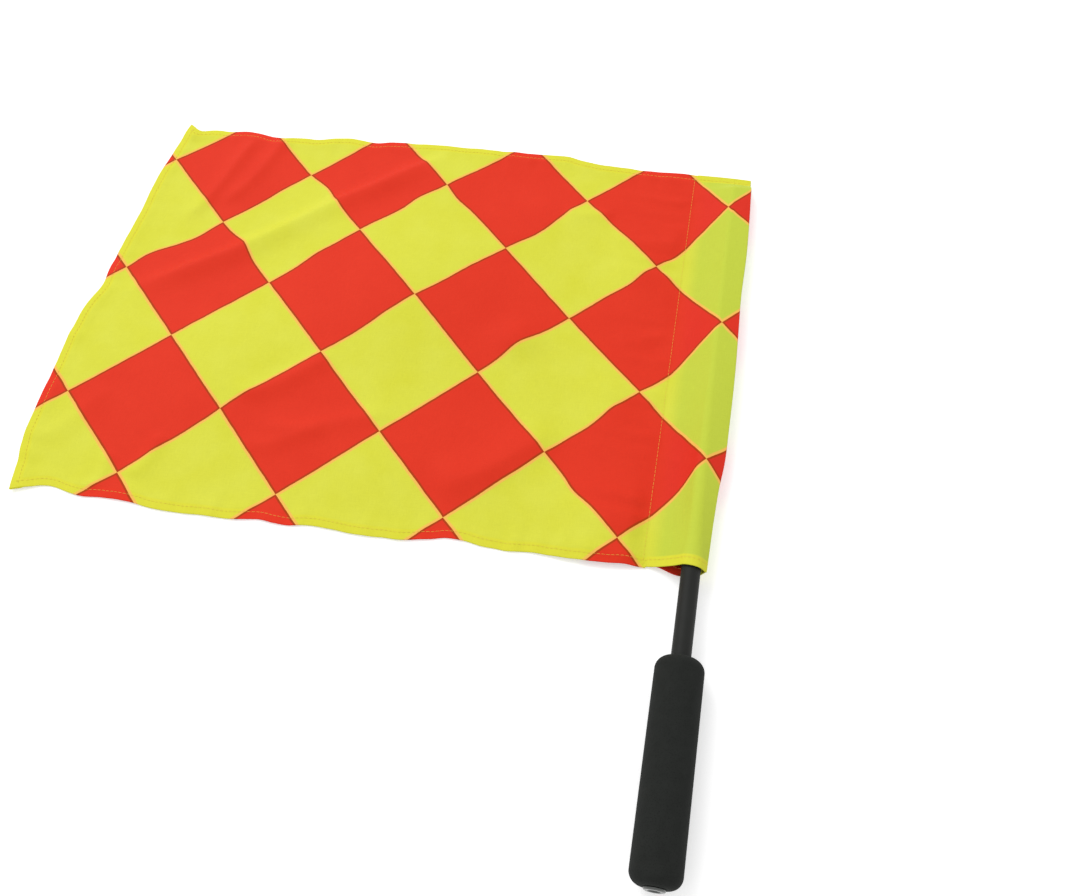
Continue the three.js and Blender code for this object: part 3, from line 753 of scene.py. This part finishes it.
# a round piece on the pole's axis, from (along, radius) pairs that start and end on it or close up
def turned(name, profile, material, nodes, segments=96):
    tilt = math.atan(axisSlope)
    points, faces, before = [], [], None
    for along, radius in profile:
        angles = np.linspace(0, 2 * math.pi, segments, endpoint=False) if radius > 0 else np.zeros(1)
        up = radius * np.sin(angles)
        ahead, height = along - up * math.sin(tilt), axisHeight(along) + up * math.cos(tilt)
        ring = len(points) + np.arange(segments) % len(angles)
        points += toRow(radius * np.cos(angles), ahead, height).tolist()
        if before is not None:
            for k in range(segments):
                corners = [before[k], ring[k], ring[(k + 1) % segments], before[(k + 1) % segments]]
                faces.append([int(c) for c in dict.fromkeys(corners)])
        before = ring
    piece = meshPiece(name, np.array(points), faces, material, "pole")
    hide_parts(*nodes)


# both ends of a node along the pole
def alongPole(node):
    return [corner.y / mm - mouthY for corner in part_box(node)]


def arcPoints(centre, radius, start, end, count):
    angles = np.radians(np.linspace(start, end, count))
    return [(centre[0] + radius * math.cos(a), centre[1] + radius * math.sin(a)) for a in angles]


grip = {
    "faceRadius": 6.3,
    "bore": 5.35,
    "inset": 0.15,
    "shoulderPoints": 18,
    "straightPoints": 24,
    "straightGap": 2,
    "skin": screen(30, 32, 30),
    "skinPale": screen(40, 42, 40),
    # painted shade: the colour of the foam's cell pits, darker than its skin
    "pitShade": screen(19, 20, 19),
    "mottle": 160.0,
    "cells": 1400.0,  # to the metre
    "pitEdge": 0.2,
    "pitBlur": 0.34,
    "pitDepth": 0.00006,
    "dents": 70.0,
    "dentDepth": 0.0004,
}


def foamFinish():
    finish = Finish("blackFoam", {"Roughness": 0.85, "Specular IOR Level": 0.13})
    where = finish.place()
    skin = finish.blend(grip["skin"], grip["skinPale"], finish.noise(where, grip["mottle"], 4.0))
    cells = finish.node("ShaderNodeTexVoronoi", None, {"Vector": where, "Scale": grip["cells"]})
    wall = cells.above(grip["pitEdge"], grip["pitBlur"])
    # the cell pits get the painted shade colour, and the bump below also sinks them
    finish.use("Base Color", finish.blend(grip["pitShade"], skin, wall))
    dents = finish.noise(where, grip["dents"]) * grip["dentDepth"]
    finish.raised(wall * grip["pitDepth"] + dents)
    return finish.material


# the foam's end, from its bore over the face and round the shoulder
def gripEndProfile(end, way):
    shoulder = radiusOf("foam_grip") - grip["faceRadius"]
    arc = arcPoints((shoulder, grip["faceRadius"]), shoulder, 180, 90, grip["shoulderPoints"])
    return [(end + way * along, radius) for along, radius in [(0, grip["bore"]), *arc]]


gripStart, gripEnd = alongPole("foam_grip")
rear = gripEndProfile(gripStart + grip["inset"], 1)
front = gripEndProfile(gripEnd - grip["inset"], -1)
straight = np.linspace(rear[-1][0] + grip["straightGap"], front[-1][0] - grip["straightGap"],
                       grip["straightPoints"])
gripProfile = rear + [(a, radiusOf("foam_grip")) for a in straight] + front[::-1] + rear[:1]
turned("foamGrip", gripProfile, foamFinish(), ["foam_grip"])
print("grip made")

tube = {
    "bore": 4.0,
    "edge": 0.2,
    "inset": 0.1,
    "straightGap": 4,
    "straightPoints": 60,
    "colour": screen(25, 26, 24),
    "colourPale": screen(35, 36, 34),
    "scuffs": 120.0,
    "dents": 400.0,
    "dentDepth": 0.00002,
}


def tubeFinish():
    finish = Finish("blackTube", {"Roughness": 0.6, "Specular IOR Level": 0.2})
    where = finish.place()
    scuffs = finish.noise(where, tube["scuffs"], 4.0)
    finish.use("Base Color", finish.blend(tube["colour"], tube["colourPale"], scuffs))
    finish.raised(finish.noise(where, tube["dents"]) * tube["dentDepth"])
    return finish.material


def tubeProfile():
    start, top = alongPole("shaft_tube")
    low, high = start + tube["inset"], top - tube["inset"]
    outer, bore, edge = radiusOf("shaft_tube"), tube["bore"], tube["edge"]
    straight = np.linspace(low + tube["straightGap"], top - tube["straightGap"], tube["straightPoints"])
    return [(low, bore), (low, outer - edge), (low + edge, outer), *[(a, outer) for a in straight],
            (high - edge, outer), (high, outer - edge), (high, bore), (low, bore)]


turned("shaftTube", tubeProfile(), tubeFinish(), ["shaft_tube"])
print("tube made")

plug = {
    "head": 1.3,
    "crown": 4.4,
    "rimRound": 1.0,
    "rimPoints": 9,
    "recess": 3.3,
    "recessBevel": 0.25,
    "floor": 2.7,
    "floorBevel": 0.3,
    "depth": 2.6,
    "seat": 0.05,
    "stem": 3.7,
    "stemLength": 16,
    "colour": screen(66, 69, 66),
    "colourPale": screen(78, 81, 78),
    "clouds": 200.0,
}


def plugFinish():
    finish = Finish("greyPlug", {"Roughness": 0.22, "Specular IOR Level": 0.6, "Coat Weight": 0.3})
    clouds = finish.noise(finish.place(), plug["clouds"])
    finish.use("Base Color", finish.blend(plug["colour"], plug["colourPale"], clouds))
    return finish.material


# from the middle of the recess out over the crown and down to the stem's end
def buttProfile():
    top, seat = gripStart - plug["head"], gripStart - plug["seat"]
    floor, stemEnd = top + plug["depth"], gripStart + plug["stemLength"]
    bevel, floorBevel = plug["recessBevel"], plug["floorBevel"]
    rimMiddle = (top + plug["rimRound"], plug["crown"])
    rim = arcPoints(rimMiddle, plug["rimRound"], 180, 90, plug["rimPoints"])
    return [(floor, 0), (floor, plug["floor"] - floorBevel), (floor - floorBevel, plug["floor"]),
            (top + bevel, plug["recess"] - bevel), (top, plug["recess"]), *rim,
            (seat, radiusOf("butt_plug")), (seat, plug["stem"]), (stemEnd, plug["stem"]), (stemEnd, 0)]


plugMaterial = plugFinish()
turned("buttPlug", buttProfile(), plugMaterial, ["butt_plug"])
tipPlug = bpy.data.objects["tip_plug"]
tipPlug.data.materials.clear()
tipPlug.data.materials.append(plugMaterial)
print("plugs made")

stitch = {
    "pitch": 2.6,
    "length": 2.3,
    "radius": 0.09,
    "firstShare": 0.2,
    "lift": [-0.12, 0.13, 0.17, 0.13, -0.12],  # above the cloth, from one end of a stitch to the other
    "taperShares": [0.5, 0.95, 1, 0.95, 0.5],
    "sides": 6,
    "hemInset": 4.2,
    "hemEndGap": 2,
    "seamInset": 1.2,
    "seamEndGap": 1,
    "colour": screen(236, 214, 88),
    "colourDeep": screen(230, 194, 72),
    "clouds": 300.0,
}


# the place of (across, along) on the cloth, and the way out of it
def gridPlace(p, q):
    row = np.clip(np.interp(q, cutY[:, 0], np.arange(rows)), 0, rows - 1.001)
    r = np.floor(row).astype(int)
    g = (row - r)[:, None]
    column = np.array([np.interp(place, line, np.arange(columns)) for place, line in zip(p, cutX[r])])
    c = np.clip(np.floor(column).astype(int), 0, columns - 2)
    f = (column - c)[:, None]
    low = mix(gridPoints[r, c], gridPoints[r, c + 1], f)
    high = mix(gridPoints[r + 1, c], gridPoints[r + 1, c + 1], f)
    across = gridPoints[r, c + 1] - gridPoints[r, c]
    along = gridPoints[r + 1, c] - gridPoints[r, c]
    return mix(low, high, g), unit(np.cross(across, along))


# the stitches along one line on the cloth, each a thin tube that dips in at both ends
def threadRow(line):
    line = np.array(line, float)
    reach = np.concatenate([[0], np.cumsum(np.linalg.norm(np.diff(line, axis=0), axis=1))])
    count, rings, sides = int(reach[-1] // stitch["pitch"]), len(stitch["lift"]), stitch["sides"]
    starts = (np.arange(count) + stitch["firstShare"]) * stitch["pitch"]
    places = (starts[:, None] + np.linspace(0, 1, rings) * stitch["length"]).ravel()
    points, out = gridPlace(*[np.interp(places, reach, line[:, way]) for way in (0, 1)])
    middle = points + out * (cloth["thickness"] / 2 + np.tile(stitch["lift"], count)[:, None])
    way = unit(np.gradient(middle.reshape(count, rings, 3), axis=1).reshape(-1, 3))
    side = unit(np.cross(way, out))
    up = np.cross(side, way)
    thin = np.tile(stitch["taperShares"], count)[:, None] * stitch["radius"]
    angles = np.arange(sides) * 2 * math.pi / sides
    around = [middle + thin * (side * math.cos(a) + up * math.sin(a)) for a in angles]
    ring = np.arange(sides)
    after = (ring + 1) % sides
    one = np.concatenate([np.stack([low + ring, low + after, low + sides + after, low + sides + ring], -1)
                          for low in range(0, (rings - 1) * sides, sides)])
    faces = (one + (np.arange(count) * rings * sides)[:, None, None]).reshape(-1, 4)
    return np.stack(around, 1).reshape(-1, 3), faces


def threadFinish():
    finish = Finish("thread", {"Roughness": 0.6, "Specular IOR Level": 0.35})
    clouds = finish.noise(finish.place(), stitch["clouds"])
    finish.use("Base Color", finish.blend(stitch["colour"], stitch["colourDeep"], clouds))
    return finish.material


threadMaterial = threadFinish()
hemInset, hemEndGap, seamEndGap = stitch["hemInset"], stitch["hemEndGap"], stitch["seamEndGap"]
sleeveEnd = float(cutX[:, -1].min()) - cloth["allowance"]
seamLine = cloth["panelWidth"] - stitch["seamInset"]
# each hem's stitches show on the upper face and on the strip below
bothFaces = (hemInset, -hemInset)
threadLines = {
    "flyStitches": [[(x, hemEndGap), (x, clothLength - hemEndGap)] for x in bothFaces],
    "bottomStitches": [[(hemEndGap, y), (sleeveEnd, y)] for y in bothFaces],
    "topStitches": [[(hemEndGap, clothLength - y), (sleeveEnd, clothLength - y)] for y in bothFaces],
    "seamStitches": [[(seamLine, seamEndGap), (seamLine, clothLength - seamEndGap)]],
}
for name, lines in threadLines.items():
    points, faces = np.empty((0, 3)), np.empty((0, 4), int)
    for line in lines:
        rowPoints, rowFaces = threadRow(line)
        faces = np.concatenate([faces, rowFaces + len(points)])
        points = np.concatenate([points, rowPoints])
    meshPiece(name, toRow(*points.T), faces, threadMaterial, "cloth")
print("thread made")

# sizes and places in metres
studio = {
    "floorSize": 6,
    "floorDrop": 0.00002,
    "floorColour": screen(240, 240, 240),
    "floorGlow": 0.4,
    "dayStrength": 0.74,
    "beyondStrength": 1.0,
    "windowPlace": (-1.4, 1.4, 2.4),
    "windowSize": 1.8,
    "windowPower": 44,
}


def floorFinish():
    finish = Finish("paleFloor", {"Base Color": studio["floorColour"], "Roughness": 0.9,
                                  "Specular IOR Level": 0.1, "Emission Strength": 1.0})
    glow = finish.seenDirectly() * studio["floorGlow"]
    finish.use("Emission Color", finish.shade((1, 1, 1), glow))
    return finish.material


bpy.ops.mesh.primitive_plane_add(size=studio["floorSize"], location=(0, 0, -studio["floorDrop"]))
floor = bpy.context.object
floor.name = "floor"
floor.data.materials.append(floorFinish())


# plain daylight on the object, and white where the camera or a reflection looks past the floor
def daylight():
    world = bpy.data.worlds.new("daylight")
    bpy.context.scene.world = world
    world.use_nodes = True
    sky = Nodes(world.node_tree)
    day, beyond = [sky.node("ShaderNodeBackground", None, {"Color": (1, 1, 1, 1), "Strength": studio[name]})
                   for name in ("dayStrength", "beyondStrength")]
    shown = sky.node("ShaderNodeMixShader", None, {0: sky.seenDirectly(), 1: day, 2: beyond})
    sky.tree.links.new(shown.socket, sky.tree.nodes["World Output"].inputs["Surface"])


def softLight(name, place, size, power):
    lamp = bpy.data.lights.new(name, "AREA")
    lamp.size = size
    lamp.energy = power
    light = bpy.data.objects.new(name, lamp)
    light.location = place
    light.rotation_euler = (Vector((0, 0, 0)) - Vector(place)).to_track_quat("-Z", "Y").to_euler()
    bpy.context.scene.collection.objects.link(light)


daylight()
softLight("window", studio["windowPlace"], studio["windowSize"], studio["windowPower"])

view = {
    "place": (-25.0, -223.2, 513.3),
    "turn": (29.956, 1.886, 10.303),
    "lens": 33.667,
    "sensor": 36,
    "clipStart": 0.01,
}
camera = bpy.data.objects.new("camera", bpy.data.cameras.new("camera"))
camera.data.lens = view["lens"]
camera.data.sensor_width = view["sensor"]
camera.data.clip_start = view["clipStart"]
camera.location = toRow(*view["place"])
camera.rotation_euler = Euler([math.radians(a) for a in view["turn"]], "XYZ")
bpy.context.scene.collection.objects.link(camera)
bpy.context.scene.camera = camera
bpy.context.scene.view_settings.view_transform = "Standard"
print("light and camera set")
